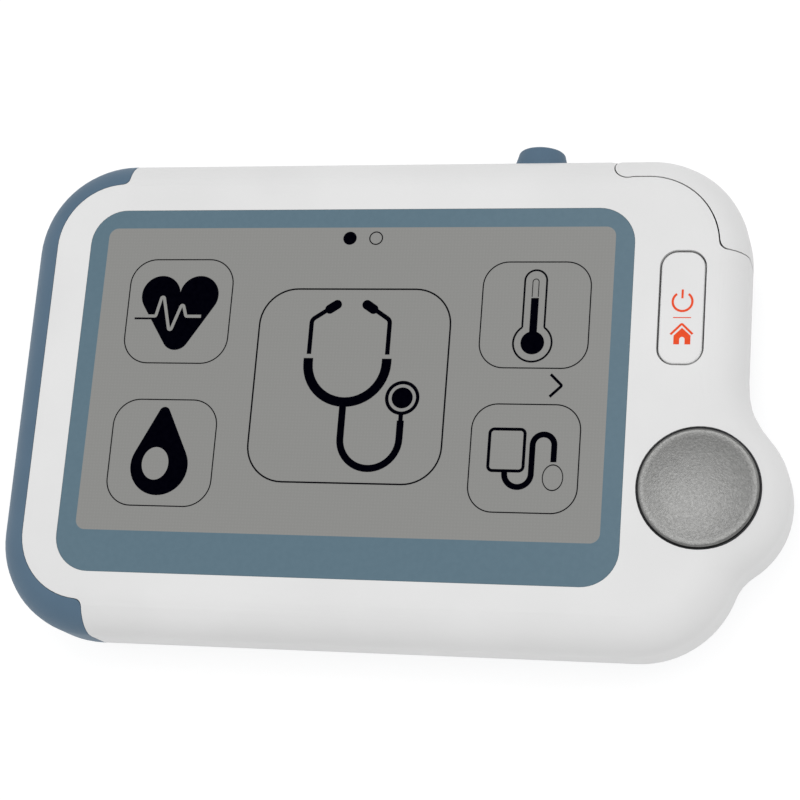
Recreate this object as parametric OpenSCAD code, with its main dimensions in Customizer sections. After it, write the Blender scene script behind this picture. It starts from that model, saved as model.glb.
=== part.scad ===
// Palm-size home health monitor with a touch display, thumb electrode, finger clip and
// infrared thermometer. It lies on its back: +Z points out of the display, +Y towards the
// top edge, and the origin is in the middle of the rear face. All sizes are millimetres.

/* [Case] */
// Width from the left edge to the far side of the thumb bulge
body_w = 88; // [86:0.5:94]
// Height of the face from the bottom edge to the top edge
body_d = 55.4; // [54.8:0.2:60]
// Thickness
body_t = 13; // [12.8:0.1:14.5]
// Corner radius seen from the front
corner_r = 11; // [10:0.25:12]
// Rounding of the front edge
front_round = 4.5; // [3.5:0.1:5]
// Rounding of the rear edge
rear_round = 4.5; // [3.5:0.1:5]
// Wall thickness of both shells
wall = 1.6; // [1.4:0.1:1.8]
// Height of the parting line above the rear face
parting_z = 3; // [2.6:0.1:3.4]
// Clearance between the two shells
shell_gap = 0.06; // [0.04:0.01:0.1]

/* [Edge strip] */
// Width of the rear shell's strip on the front face
strip_w = 3.4; // [2.8:0.1:3.8]
// How far the strip reaches round the two left corners
strip_reach = 11.25; // [10.5:0.25:13]

/* [Thumb bulge] */
// How far the bulge stands past the straight right edge
bulge_reach = 5.25; // [4:0.25:6]
// Radius of the bulge
bulge_r = 9.4; // [9.2:0.1:10]
// Centre of the bulge below the middle of the case
bulge_drop = 10.2; // [9:0.1:11]
// Hollow radius above the bulge
blend_above_r = 11; // [8:0.5:14]
// Hollow radius below the bulge
blend_below_r = 5; // [4:0.5:10]

/* [Display] */
// Width of the visible picture area
picture_w = 58.8; // [56:0.2:60]
// Height of the visible picture area
picture_d = 35.3; // [33:0.1:36.5]
// Width of the cover lens
lens_w = 62.9; // [62.5:0.1:64]
// Height of the cover lens
lens_d = 42; // [41:0.1:43]
// Corner radius of the cover lens
lens_r = 4; // [3:0.25:5]
// Thickness of the cover lens
lens_t = 0.9; // [0.7:0.05:1]
// Distance of the lens centre left of the case centre
lens_left = 4.9; // [4.6:0.1:5]
// Distance of the picture centre above the lens centre
picture_rise = 1.25; // [0.8:0.05:1.6]

/* [Home button] */
// Width of the button cap
button_w = 4.7; // [4:0.1:5]
// Length of the button cap
button_l = 12.6; // [11:0.2:14]
// Corner radius of the button cap
button_corner_r = 1.75; // [1.2:0.05:2.2]
// Button centre right of the case centre
button_x = 32; // [31.8:0.1:32.2]
// Button centre above the case centre
button_y = 9.6; // [8.5:0.1:10.5]
// Clearance round the button cap
button_gap = 0.2; // [0.12:0.02:0.3]
// How far the button travels
button_travel = 0.4; // [0.2:0.05:0.5]

/* [Thumb electrode] */
// Diameter of the electrode disc
electrode_d = 12.8; // [11.5:0.1:13]
// Depth of the dish in the disc
dish_depth = 0.35; // [0.1:0.05:0.5]
// How far the disc's rim stands above the front face
electrode_proud = 0.2; // [0:0.05:0.4]
// Width of the insulating ring round the disc
ring_w = 0.24; // [0.2:0.02:0.4]

/* [Finger clip] */
// Width of the clip arm round the corner
clip_w = 2.9; // [2.7:0.05:3.1]
// Gap between the arm and the case
clip_gap = 0.15; // [0.1:0.01:0.25]
// Pin distance left of the corner's centre
clip_pin_back = 2.35; // [2:0.05:3]
// Length of the straight end below the corner's centre
clip_tail = 0.2; // [0:0.05:0.8]
// Hinge pin diameter
pin_d = 0.9; // [0.8:0.05:1]
// Thickness of the soft finger pads
pad_t = 0.8; // [0.6:0.05:0.9]

/* [Thermometer] */
// Nozzle axis right of the case centre
nozzle_x = 14.5; // [13.5:0.1:14.8]
// Nozzle diameter where it leaves the case
nozzle_d = 6.2; // [6:0.1:6.6]
// Nozzle diameter at the tip
nozzle_tip_d = 5.4; // [5.2:0.1:5.8]
// How far the nozzle stands past the top edge
nozzle_reach = 2.2; // [1.6:0.1:3]
// Diameter of the infrared sensor's can
ir_can_d = 4.4; // [4:0.1:4.6]

/* [Inside] */
// Thickness of the circuit board
board_t = 1; // [0.8:0.1:1.2]
// Underside of the circuit board above the rear face
board_z = 7.4; // [7.2:0.1:7.6]
// Battery width
battery_w = 46; // [40:1:47]
// Battery height on the face
battery_d = 33; // [28:1:36]
// Battery thickness
battery_t = 4.4; // [3.8:0.1:4.5]
// Speaker diameter
speaker_d = 13; // [11:0.5:13.5]
// Speaker thickness
speaker_t = 3.4; // [2.6:0.1:4]
// Screw shank diameter
screw_d = 1.5; // [1.4:0.1:1.6]
// Screw head diameter
screw_head_d = 2.8; // [2.5:0.1:3]

/* [Hidden] */
$fn = 72;

white_plastic = "#e6e6e4";
blue_plastic = "#5f7686";
stainless = "#b4b2ae";
dark_rubber = "#2b2d30";

over = 0.5;           // how far a cutter runs past the face it cuts
edge_steps = 8;       // flats along each rounded edge

// Case outline
left_x = -body_w / 2;
far_x = body_w / 2;
right_x = far_x - bulge_reach;
top_y = body_d / 2;
low_y = -top_y;
bulge = [far_x - bulge_r, -bulge_drop];
corner_bl = [left_x + corner_r, low_y + corner_r];
corner_br = [right_x - corner_r, low_y + corner_r];
corner_tr = [right_x - corner_r, top_y - corner_r];
corner_tl = [left_x + corner_r, top_y - corner_r];
blend_above = [right_x + blend_above_r,
               bulge[1] + sqrt(pow(bulge_r + blend_above_r, 2)
                               - pow(right_x + blend_above_r - bulge[0], 2))];
blend_below = meet(corner_br, corner_r + blend_below_r, bulge, bulge_r + blend_below_r);
band_w = 8;           // width of the rounded band that runs round the outline
core_depth = max(front_round, rear_round) + 0.25;  // the middle starts this far inside the outline

// Front and rear faces
face_z = body_t - wall;                       // underside of the front face
cavity_low_round = rear_round - wall;
cavity_front_round = front_round - wall;

// Display stack
lens_c = [-lens_left, -0.1];
lens_gap = 0.08;
lens_seat_z = body_t - lens_t;
picture_c = [lens_c[0], lens_c[1] + picture_rise];
window_margin = 1;                            // upper glass past the picture area
window_corner = 0.3;
glass_gap = 0.1;                              // display glass to its surroundings
upper_glass = [picture_w + 2 * window_margin, picture_d + 2 * window_margin];
window = [upper_glass[0] + 2 * glass_gap, upper_glass[1] + 2 * glass_gap];
lower_glass = [lens_w - 0.9, lens_d - 0.4];
lower_glass_top = face_z - glass_gap;
lower_glass_t = 0.9;
upper_glass_top = lens_seat_z - 0.05;
glass_under = lower_glass_top - lower_glass_t;
tray_t = 0.4;
tray_wall = 0.5;
tray_under = glass_under - tray_t;
tray = [lower_glass[0] + 2 * (glass_gap + tray_wall), lower_glass[1] + 2 * (glass_gap + tray_wall)];
board_top = board_z + board_t;

// Screws
boss_r = 1.9;
screw_from_left = 5.3;
screw_from_edge = 4;                          // from the top and bottom edges
screw_from_pin = 5.1;                         // between the nozzle and the hinge
screw_at = [
  [left_x + screw_from_left, 13.5],
  [left_x + screw_from_left, -13.5],
  [corner_tr[0] - clip_pin_back - screw_from_pin, top_y - screw_from_edge],
  [corner_tr[0] - clip_pin_back - screw_from_pin, low_y + screw_from_edge]
];
head_seat_z = 1.2;
screw_clearance = 0.15;
thread_clearance = 0.02;
screw_end_z = face_z - 0.8;

// Home button
button_top = body_t - 0.1;
button_edge = 0.25;                           // height of the step round the cap's face
button_flange = 0.8;
button_flange_t = 0.6;
button_flange_top = face_z - 0.06;
stem_r = 1.2;
switch_top = board_top + 1.3;
switch_size = 4.6;
plunger_r = 0.8;
plunger_gap = 0.06;
plunger_stands = 0.6;
stem_under = switch_top + plunger_stands;

// Thumb electrode
electrode_r = electrode_d / 2;
seat_r = electrode_r + ring_w;
ring_t = 0.3;
seat_z = body_t - 1.45;
seat_floor_t = 1.1;
seat_wall = 0.76;
electrode_under = seat_z + ring_t;
electrode_top = body_t + electrode_proud;
electrode_stem_r = 2;
stem_gap = 0.1;
electrode_stem_under = seat_z - seat_floor_t - 0.5;
dish_rim = 0.5;
dish_r = (pow(electrode_r - dish_rim, 2) + pow(dish_depth, 2)) / (2 * dish_depth);

// Other electrodes
plate_t = 0.5;
left_plate = [18, 3.6];
left_plate_z = body_t / 2 - 0.2;
left_post_r = 0.8;
rear_plate = [21, 12];
rear_plate_c = [22, 7.5];
rear_post_r = 1;
plate_gap = 0.05;

// Finger clip
pin_at = [corner_tr[0] - clip_pin_back, top_y - clip_w / 2];
knuckle_r = clip_w / 2 + 0.1;
arm_end_y = corner_tr[1] - clip_tail;
arm_inner_r = corner_r - clip_w;
pad_wall = 1.2;
block_w = clip_w + clip_gap + pad_t + pad_wall;  // wall behind the arm, from the outline
lug_z = 4.6;
lug_top = 6.3;
lug_gap = 0.2;
knuckle_upper_z = 8.6;
lug_r = knuckle_r - 0.15;
pin_r = pin_d / 2;
running_gap = 0.05;
pin_z = 2;
pin_top = body_t - 2.2;
pad_arc = [16, 74];
pad_z = 2.4;
pad_h = body_t - 2 * pad_z;
window_r = 1.5;
window_at = 45;
window_depth = 1.5;
wire_d = 0.26;
coil_r = 0.85;
coil_turns = 6;
coil_z = lug_top + 0.05 + wire_d / 2;
coil_h = knuckle_upper_z - 0.05 - wire_d / 2 - coil_z;
leg_angle = -60;
leg_turn = 14;        // angle over which the wire turns up into a leg
leg_l = 0.7;          // how far each leg stands past the coil

// Thermometer
nozzle_z = body_t / 2;
nozzle_r = nozzle_d / 2;
nozzle_tip_r = nozzle_tip_d / 2;
nozzle_flange_r = nozzle_r + 0.6;
nozzle_flange_t = 0.8;
nozzle_gap = 0.05;
ir_can_r = ir_can_d / 2;
can_top_y = top_y + 0.2;
can_l = 3.4;
aperture_r = 1.7;

// Data port
port = [9, 5.6, 3.2];
port_at = [-14, top_y - 0.3, board_z - port[2]];
port_gap = 0.12;
port_shell = 0.3;

// Battery
battery_gap = 0.8;                            // to the left screw bosses
battery_c = [screw_at[0][0] + boss_r + battery_gap + battery_w / 2, 0];
pad_foam_t = 0.5;

// Speaker
speaker_c = [26.8, -13.6];
speaker_rib = 0.8;
speaker_rib_h = 1;
slot = [1, 8];
slot_pitch = 2;

// ------------------------------------------------------------------ helpers

function bearing(from, to) = atan2(to[1] - from[1], to[0] - from[0]);
function sweep_angle(a, b) = (b - a) - 360 * floor((b - a) / 360);
function on_circle(c, r, a) = [c[0] + r * cos(a), c[1] + r * sin(a)];
// Right-hand crossing of two circles
function meet(c1, r1, c2, r2) =
  let (d = norm(c2 - c1), u = (c2 - c1) / d,
       a = (r1 * r1 - r2 * r2 + d * d) / (2 * d), h = sqrt(r1 * r1 - a * a))
  c1 + a * u + h * [u[1], -u[0]];
function arc_points(c, r, a0, a1) =
  [for (i = [0:edge_steps]) on_circle(c, r, a0 + (a1 - a0) * i / edge_steps)];

module stadium(w, l) {
  translate([0, (l - w) / 2]) circle(w / 2);
  translate([0, -(l - w) / 2]) circle(w / 2);
  square([w, l - w], center = true);
}

module rounded_rect(size, r) {
  for (x = [-1, 1], y = [-1, 1])
    translate([x * (size[0] / 2 - r), y * (size[1] / 2 - r)]) circle(r);
  square([size[0], size[1] - 2 * r], center = true);
  square([size[0] - 2 * r, size[1]], center = true);
}

// Plan of the button cap, grown by g
module button_plan(g) {
  rounded_rect([button_w + 2 * g, button_l + 2 * g], button_corner_r + g);
}

// Plate inside the four case corners, without the bulge, inset by d
module inner_plate(d) {
  for (c = [corner_bl, corner_br, corner_tr, corner_tl])
    translate(c) circle(corner_r - d);
  translate([left_x + d, corner_bl[1]])
    square([right_x - left_x - 2 * d, body_d - 2 * corner_r]);
  translate([corner_bl[0], low_y + d])
    square([corner_br[0] - corner_bl[0], body_d - 2 * d]);
}

// The case outline, inset by d
module outline(d) {
  inner_plate(d);
  translate(bulge) circle(bulge_r - d);
  difference() {
    polygon([bulge, on_circle(bulge, bulge_r, bearing(bulge, blend_above)), blend_above,
             [right_x - d, blend_above[1]], [corner_br[0], blend_above[1]]]);
    translate(blend_above) circle(blend_above_r + d);
  }
  difference() {
    polygon([bulge, corner_br, on_circle(corner_br, corner_r, bearing(corner_br, blend_below)),
             blend_below, on_circle(bulge, bulge_r, bearing(bulge, blend_below))]);
    translate(blend_below) circle(blend_below_r + d);
  }
}

// Section of the band round the outline: the edge is at x = 0 and the case at x < 0. Past the
// middle's edge it slopes away inside the middle.
module band_section(z0, z1, low, high, d) {
  lap = core_depth + 0.2;
  slope = 1.5;
  polygon(concat([[-band_w, z0 + slope], [-lap, z0]], arc_points([-d - low, z0 + low], low, -90, 0),
                 arc_points([-d - high, z1 - high], high, 0, 90), [[-lap, z1], [-band_w, z1 - slope]]));
}

// A case-shaped solid inset by d, with its lower and upper edges rounded. The two hollows beside
// the bulge are short flats. Their neighbours run on past the tangent point, inside the flats.
module rounded_case(d, z0, z1, low, high) {
  past = 4;           // degrees
  module bend(c, r, a0, a1) {
    translate([c[0], c[1], 0]) rotate([0, 0, a0])
      rotate_extrude(angle = sweep_angle(a0, a1)) translate([r, 0]) band_section(z0, z1, low, high, d);
  }
  module run(p, q) {
    translate([p[0], p[1], 0]) rotate([0, 0, bearing(p, q) - 90]) rotate([90, 0, 0])
      mirror([0, 0, 1]) linear_extrude(norm(q - p)) band_section(z0, z1, low, high, d);
  }
  module hollow(c, r, a0, a1) {
    flats = ceil((a0 - a1) / 9);
    for (i = [0:flats - 1]) {
      p = on_circle(c, r, a0 + (a1 - a0) * i / flats);
      q = on_circle(c, r, a0 + (a1 - a0) * (i + 1) / flats);
      along = 0.6 * (q - p) / norm(q - p);
      run(p - along, q + along);
    }
  }
  bend(corner_bl, corner_r, 180, 270);
  run([corner_bl[0], low_y], [corner_br[0], low_y]);
  bend(corner_br, corner_r, 270, bearing(corner_br, blend_below) + past);
  hollow(blend_below, blend_below_r, bearing(blend_below, corner_br), bearing(blend_below, bulge));
  bend(bulge, bulge_r, bearing(bulge, blend_below) - past, bearing(bulge, blend_above) + past);
  hollow(blend_above, blend_above_r, 360 + bearing(blend_above, bulge), 180);
  run([right_x, blend_above[1] - 1], [right_x, corner_tr[1]]);
  bend(corner_tr, corner_r, 0, 90);
  run([corner_tr[0], top_y], [corner_tl[0], top_y]);
  bend(corner_tl, corner_r, 90, 180);
  run([left_x, corner_tl[1]], [left_x, corner_bl[1]]);
  translate([0, 0, z0]) linear_extrude(z1 - z0) core();
}

// Straight-sided middle that fills the band and reaches to just inside its rounded edges
module core() {
  deep = core_depth;
  polygon(concat(
    arc_points(corner_bl, corner_r - deep, 180, 270),
    arc_points(corner_br, corner_r - deep, 270, 360 + bearing(corner_br, blend_below)),
    arc_points(blend_below, blend_below_r + deep, bearing(blend_below, corner_br), bearing(blend_below, bulge)),
    arc_points(bulge, bulge_r - deep, bearing(bulge, blend_below), bearing(bulge, blend_above)),
    arc_points(blend_above, blend_above_r + deep, 360 + bearing(blend_above, bulge), 180),
    arc_points(corner_tr, corner_r - deep, 0, 90),
    arc_points(corner_tl, corner_r - deep, 90, 180)));
}

// Everything outside the line that runs d inside the upper right corner
module corner_region(d, from_x, from_y) {
  difference() {
    translate([from_x, from_y]) square([right_x + 2 - from_x, top_y + 2 - from_y]);
    translate(corner_tr) circle(corner_r - d);
    translate([from_x - 1, from_y - 1]) square([corner_tr[0] - from_x + 1, top_y - d - from_y + 1]);
    translate([from_x - 1, from_y - 1]) square([right_x - d - from_x + 1, corner_tr[1] - from_y + 1]);
  }
}

// Plan of the clip arm, grown by g
module arm_plan(g) {
  end_r = 0.9;
  difference() {
    union() {
      corner_region(clip_w + g, pin_at[0], arm_end_y - g);
      translate(pin_at) circle(knuckle_r + g);
    }
    difference() {
      translate([right_x - clip_w - g - 1, arm_end_y - g - 1]) square(end_r + 1);
      translate([right_x - clip_w - g + end_r, arm_end_y - g + end_r]) circle(end_r);
    }
  }
}

// Plan of the strip on the left, grown by g
module strip_plan(g) {
  end_r = 0.8;
  end_x = left_x + strip_reach + g;
  end_y = top_y - strip_w - g;
  difference() {
    translate([left_x - 2, low_y - 2]) square([end_x - left_x + 2, body_d + 4]);
    inner_plate(strip_w + g);
    for (flip = [0, 1]) mirror([0, flip]) difference() {
      translate([end_x - end_r, end_y - 1]) square([end_r + 1, end_r + 1]);
      translate([end_x - end_r, end_y + end_r]) circle(end_r);
    }
  }
}

module case_solid() { rounded_case(0, 0, body_t, rear_round, front_round); }

module cavity() {
  difference() {
    rounded_case(wall, wall, face_z, cavity_low_round, cavity_front_round);
    translate([0, 0, -over]) linear_extrude(body_t + 2 * over)
      corner_region(block_w, pin_at[0] - knuckle_r - clip_gap - pad_wall, arm_end_y - clip_gap - pad_wall);
  }
}

// Space that the clip arm and its swing need in the case
module arm_pocket() {
  translate([0, 0, -over]) linear_extrude(body_t + 2 * over) {
    arm_plan(clip_gap);
    polygon([[pin_at[0] - knuckle_r - 1.4, top_y + 1], [pin_at[0] - knuckle_r - 1.4, top_y],
             [pin_at[0] - knuckle_r, top_y - 0.7], [pin_at[0], top_y - 0.7], [pin_at[0], top_y + 1]]);
  }
}

// A soft pad round the corner between two distances from the outline
module pad_solid(from_d, to_d, trim) {
  translate([corner_tr[0], corner_tr[1], pad_z + trim]) rotate([0, 0, pad_arc[0] + trim * 8])
    rotate_extrude(angle = pad_arc[1] - pad_arc[0] - trim * 16)
      translate([corner_r - to_d, 0]) square([to_d - from_d, pad_h - 2 * trim]);
}

// A round window whose axis points out of the corner
module corner_window(r, from_r, to_r) {
  translate([corner_tr[0], corner_tr[1], body_t / 2]) rotate([0, 0, window_at]) rotate([0, 90, 0])
    translate([0, 0, from_r]) cylinder(r = r, h = to_r - from_r);
}

module on_y(x, y, z) { translate([x, y, z]) rotate([-90, 0, 0]) children(); }

// ------------------------------------------------------------------ shells

// Front face, walls and screw bosses, without the openings
module front_shell() {
  difference() {
    case_solid();
    difference() {
      cavity();
      for (p = screw_at) translate([p[0], p[1], board_top]) cylinder(r = boss_r, h = body_t);
    }
    translate([left_x - 2, low_y - 2, -over]) cube([body_w + 4, body_d + 4, parting_z + over]);
    translate([0, 0, -over]) linear_extrude(body_t + 2 * over) strip_plan(shell_gap);
    arm_pocket();
  }
}

// The eye that the hinge pin runs in
module hinge_lug() {
  translate([0, 0, lug_z]) linear_extrude(lug_top - lug_z) {
    translate(pin_at) circle(lug_r);
    translate([pin_at[0] - lug_r * 0.7, pin_at[1] - knuckle_r - 0.7]) square([lug_r * 1.4, knuckle_r + 0.7]);
  }
}

// Twelve-sided boss under the front face that the thumb electrode is seated in
module electrode_seat() {
  translate([bulge[0], bulge[1], seat_z - seat_floor_t])
    cylinder(r = seat_r + seat_wall, h = seat_floor_t + 0.5, $fn = 12);
}

module front_openings() {
  translate([lens_c[0], lens_c[1], lens_seat_z]) linear_extrude(lens_t + over)
    rounded_rect([lens_w + 2 * lens_gap, lens_d + 2 * lens_gap], lens_r + lens_gap);
  translate([picture_c[0], picture_c[1], face_z - over]) linear_extrude(wall)
    rounded_rect(window, window_corner);
  translate([button_x, button_y, face_z - over]) linear_extrude(wall + 2 * over)
    button_plan(button_gap);
  translate([bulge[0], bulge[1], seat_z]) cylinder(r = seat_r, h = body_t);
  nozzle_seat();
}

// Flat seat inside the walls for the nozzle's flange
module nozzle_seat() {
  back_y = top_y - wall - nozzle_gap - nozzle_flange_t;
  on_y(nozzle_x, back_y - over, nozzle_z)
    cylinder(r = nozzle_flange_r + nozzle_gap, h = top_y - wall - back_y + over);
}

// Room under the front face for the button's flange and its travel
module flange_pocket() {
  low_z = button_flange_top - button_flange_t - button_travel - 0.3;
  translate([button_x, button_y, low_z]) linear_extrude(face_z - low_z)
    button_plan(button_flange + button_gap);
}

module side_openings() {
  on_y(nozzle_x, top_y - 4, nozzle_z) cylinder(r = nozzle_r + nozzle_gap, h = 6);
  translate([port_at[0] - port[0] / 2 - port_gap, top_y - 3, port_at[2] - port_gap])
    cube([port[0] + 2 * port_gap, 4, port[2] + 2 * port_gap]);
  pad_solid(clip_w, clip_w + clip_gap + pad_t, 0);
}

module front_housing() {
  color(white_plastic) difference() {
    difference() {
      difference() {
        union() {
          front_shell();
          hinge_lug();
          electrode_seat();
        }
        front_openings();
      }
      side_openings();
    }
    translate([bulge[0], bulge[1], 0]) cylinder(r = electrode_stem_r + stem_gap, h = body_t);
    for (p = screw_at)
      translate([p[0], p[1], 0]) cylinder(r = screw_d / 2 + thread_clearance, h = screw_end_z + 0.2);
    translate([pin_at[0], pin_at[1], 0]) cylinder(r = pin_r + running_gap, h = lug_top + over);
    translate([pin_at[0], pin_at[1], lug_top - leg_l]) rotate([0, 0, leg_angle - leg_turn])
      translate([coil_r, 0]) cylinder(r = wire_d / 2 + 0.05, h = leg_l + over, $fn = 24);
    corner_window(window_r + plate_gap, arm_inner_r - clip_gap - pad_t - window_depth + 0.4, corner_r);
    flange_pocket();
  }
}

// Floor, lower wall, left strip, screw bosses and speaker seat, without the openings
module rear_shell() {
  difference() {
    case_solid();
    difference() {
      cavity();
      for (p = screw_at) translate([p[0], p[1], 0]) cylinder(r = boss_r, h = board_z);
      translate([speaker_c[0], speaker_c[1], 0])
        cylinder(r = speaker_d / 2 + 0.1 + speaker_rib, h = wall + speaker_rib_h);
    }
    translate([0, 0, parting_z]) linear_extrude(body_t) difference() {
      translate([left_x - 2, low_y - 2]) square([body_w + 4, body_d + 4]);
      strip_plan(0);
    }
    arm_pocket();
  }
}

// Upright ribs that stand just inside the front shell and line the two shells up
module locating_ribs() {
  rib = [9, 0.8, 5.2];
  rib_d = wall + 0.55;
  z = wall - 0.4;
  for (x = [-24, -4, 10]) translate([x, low_y + rib_d, z]) cube([rib[0], rib[1], rib[2] - z]);
  for (x = [-30, -4]) translate([x, top_y - rib_d - rib[1], z]) cube([rib[0], rib[1], rib[2] - z]);
  translate([right_x - rib_d - rib[1], blend_above[1] + 0.5, z]) cube([rib[1], 7, rib[2] - z]);
}

module grille() {
  for (i = [-2:2]) translate([speaker_c[0] + i * slot_pitch, speaker_c[1], -over])
    linear_extrude(wall + 2 * over) stadium(slot[0], slot[1] - abs(i) * 1.2);
}

module electrode_recesses() {
  translate([left_x - over, 0, left_plate_z]) rotate([0, 90, 0]) {
    linear_extrude(plate_t + over) stadium(left_plate[1] + 2 * plate_gap, left_plate[0] + 2 * plate_gap);
    cylinder(r = left_post_r + plate_gap, h = wall + 2 * over);
  }
  translate([rear_plate_c[0], rear_plate_c[1], -over]) {
    linear_extrude(plate_t + over)
      rotate([0, 0, 90]) stadium(rear_plate[1] + 2 * plate_gap, rear_plate[0] + 2 * plate_gap);
    cylinder(r = rear_post_r + plate_gap, h = wall + 2 * over);
  }
}

module rear_housing() {
  color(blue_plastic) difference() {
    difference() {
      union() {
        rear_shell();
        locating_ribs();
      }
      translate([speaker_c[0], speaker_c[1], wall]) cylinder(r = speaker_d / 2 + 0.1, h = body_t);
      electrode_recesses();
      pad_solid(clip_w, clip_w + clip_gap + pad_t, 0);
      nozzle_seat();
    }
    grille();
    for (p = screw_at) translate([p[0], p[1], -over]) {
      cylinder(r = screw_d / 2 + screw_clearance, h = body_t);
      cylinder(r = screw_head_d / 2 + 0.1, h = head_seat_z + over);
    }
  }
}

// ------------------------------------------------------------------ display

module touch_lens() {
  color(blue_plastic) translate([lens_c[0], lens_c[1], lens_seat_z]) linear_extrude(lens_t)
    rounded_rect([lens_w, lens_d], lens_r);
}

module lcd_module() {
  color("#8f8f8d") {
    translate([lens_c[0] - lower_glass[0] / 2, lens_c[1] - lower_glass[1] / 2, glass_under])
      cube([lower_glass[0], lower_glass[1], lower_glass_t]);
    translate([picture_c[0] - upper_glass[0] / 2, picture_c[1] - upper_glass[1] / 2, glass_under])
      cube([upper_glass[0], upper_glass[1], upper_glass_top - glass_under]);
  }
}

module display_frame() {
  color(stainless) difference() {
    union() {
      translate([lens_c[0] - tray[0] / 2, lens_c[1] - tray[1] / 2, tray_under])
        cube([tray[0], tray[1], glass_under + 0.6 - tray_under]);
      for (x = [-1, 1], y = [-1, 1])
        translate([lens_c[0] + x * (tray[0] / 2 - 4), lens_c[1] + y * (tray[1] / 2 - 4), board_top])
          cylinder(r = 1.2, h = tray_under - board_top + 0.1);
    }
    translate([lens_c[0] - lower_glass[0] / 2 - glass_gap, lens_c[1] - lower_glass[1] / 2 - glass_gap, glass_under])
      cube([lower_glass[0] + 2 * glass_gap, lower_glass[1] + 2 * glass_gap, 5]);
    translate([lens_c[0] - flex_w / 2 - 1, lens_c[1] - tray[1] / 2 - 1, glass_under])
      cube([flex_w + 2, 3, 5]);
  }
}

// Flat cable that leaves the lower glass, turns over the tray's edge and lies on the board
flex_w = 14;
flex_t = 0.2;
flex_y = lens_c[1] - tray[1] / 2 - 0.3;
module display_flex() {
  bend_r = (glass_under + 0.3 - board_top) / 2;
  color("#c98a3c") translate([lens_c[0] - flex_w / 2, 0, 0]) rotate([90, 0, 90]) linear_extrude(flex_w) {
    translate([flex_y, board_top + bend_r]) difference() {
      circle(bend_r);
      circle(bend_r - flex_t);
      translate([0, -10]) square([10, 20]);
    }
    translate([flex_y, glass_under + 0.3 - flex_t])
      square([lens_c[1] - lower_glass[1] / 2 - flex_y, flex_t]);
    translate([flex_y, board_top]) square([3.5, flex_t]);
  }
}

// ------------------------------------------------------------------ board and power

module main_board() {
  edge = wall + 0.9;
  color("#2f6b46") translate([0, 0, board_z]) linear_extrude(board_t) difference() {
    outline(edge);
    corner_region(block_w + 0.3, pin_at[0] - knuckle_r - 2, arm_end_y - 2);
    translate([nozzle_x - nozzle_flange_r - 0.5, lens_c[1] + tray[1] / 2 + 0.3]) square([2 * nozzle_flange_r + 1, 9]);
    for (p = screw_at) translate(p) circle(screw_d / 2 + screw_clearance);
  }
}

module board_parts() {
  color("#3a3d41") {
    translate([-30, -14, board_top]) cube([16, 12, 0.9]);
    translate([-8, 2, board_top]) cube([8, 8, 0.8]);
    translate([6, -12, board_top]) cube([10, 6, 0.8]);
    translate([-26, 6, board_top]) cube([6, 5, 0.8]);
    translate([16, -4, board_z - 1]) cube([7, 7, 1]);
    translate([27, 0, board_z - 1.2]) cube([6, 9, 1.2]);
    translate([battery_c[0] + battery_w / 2 + 3, -3, board_z - 3.2]) cube([2.6, 6, 3.2]);
  }
}

module battery_pad() {
  color("#4a4a4a") translate([battery_c[0] - battery_w / 2 + 3, battery_c[1] - battery_d / 2 + 3, wall])
    cube([battery_w - 6, battery_d - 6, pad_foam_t]);
}

module battery_pack() {
  side_r = 1.6;
  color("#b9bcc0") translate([battery_c[0], battery_c[1], wall + pad_foam_t]) {
    linear_extrude(battery_t) rounded_rect([battery_w - 5, battery_d], side_r);
    translate([battery_w / 2 - 3, -battery_d / 2 + 2, 1.2]) cube([3, battery_d - 4, battery_t - 2.4]);
    translate([-battery_w / 2, -battery_d / 2 + 2, 0.6]) cube([3, battery_d - 4, battery_t - 1.2]);
  }
}

module battery_leads() {
  z = wall + pad_foam_t + battery_t / 2;
  color("#a03028") for (s = [-1, 1])
    translate([battery_c[0] + battery_w / 2, battery_c[1] + s * 1.5, z + 0.35])
      rotate([0, 90, 0]) cylinder(r = 0.5, h = 3);
}

// ------------------------------------------------------------------ button

module home_button() {
  color(white_plastic) {
    translate([button_x, button_y, button_flange_top - button_flange_t])
      linear_extrude(button_top - button_flange_top + button_flange_t - button_edge) button_plan(0);
    translate([button_x, button_y, button_top - button_edge])
      linear_extrude(button_edge) button_plan(-button_edge * 0.6);
    translate([button_x, button_y, button_flange_top - button_flange_t])
      linear_extrude(button_flange_t) button_plan(button_flange);
    translate([button_x, button_y, stem_under]) cylinder(r = stem_r, h = button_flange_top - stem_under);
  }
}

module switch_plunger() {
  color("#1f1f22") translate([button_x, button_y, switch_top - 0.2])
    cylinder(r = plunger_r, h = plunger_stands + 0.2);
}

module home_switch() {
  color("#7d7f83") difference() {
    translate([button_x - switch_size / 2, button_y - switch_size / 2, board_top])
      cube([switch_size, switch_size, switch_top - board_top]);
    translate([button_x, button_y, board_top + 0.5]) cylinder(r = plunger_r + plunger_gap, h = 5);
  }
}

// ------------------------------------------------------------------ electrodes

module thumb_electrode() {
  bevel = 0.25;
  color(stainless) translate([bulge[0], bulge[1], 0]) {
    difference() {
      union() {
        translate([0, 0, electrode_under]) cylinder(r = electrode_r, h = electrode_top - bevel - electrode_under);
        translate([0, 0, electrode_top - bevel]) cylinder(r1 = electrode_r, r2 = electrode_r - bevel, h = bevel, $fn = 72);
      }
      translate([0, 0, electrode_top - dish_depth + dish_r]) sphere(dish_r, $fn = 200);
    }
    translate([0, 0, electrode_stem_under]) cylinder(r = electrode_stem_r, h = electrode_under - electrode_stem_under + 0.2);
  }
}

module electrode_ring() {
  color(dark_rubber) translate([bulge[0], bulge[1], seat_z]) difference() {
    cylinder(r = seat_r, h = body_t - 0.25 - seat_z);
    translate([0, 0, ring_t]) cylinder(r = electrode_r + 0.02, h = body_t);
    translate([0, 0, -over]) cylinder(r = electrode_stem_r + stem_gap, h = body_t);
  }
}

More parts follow.
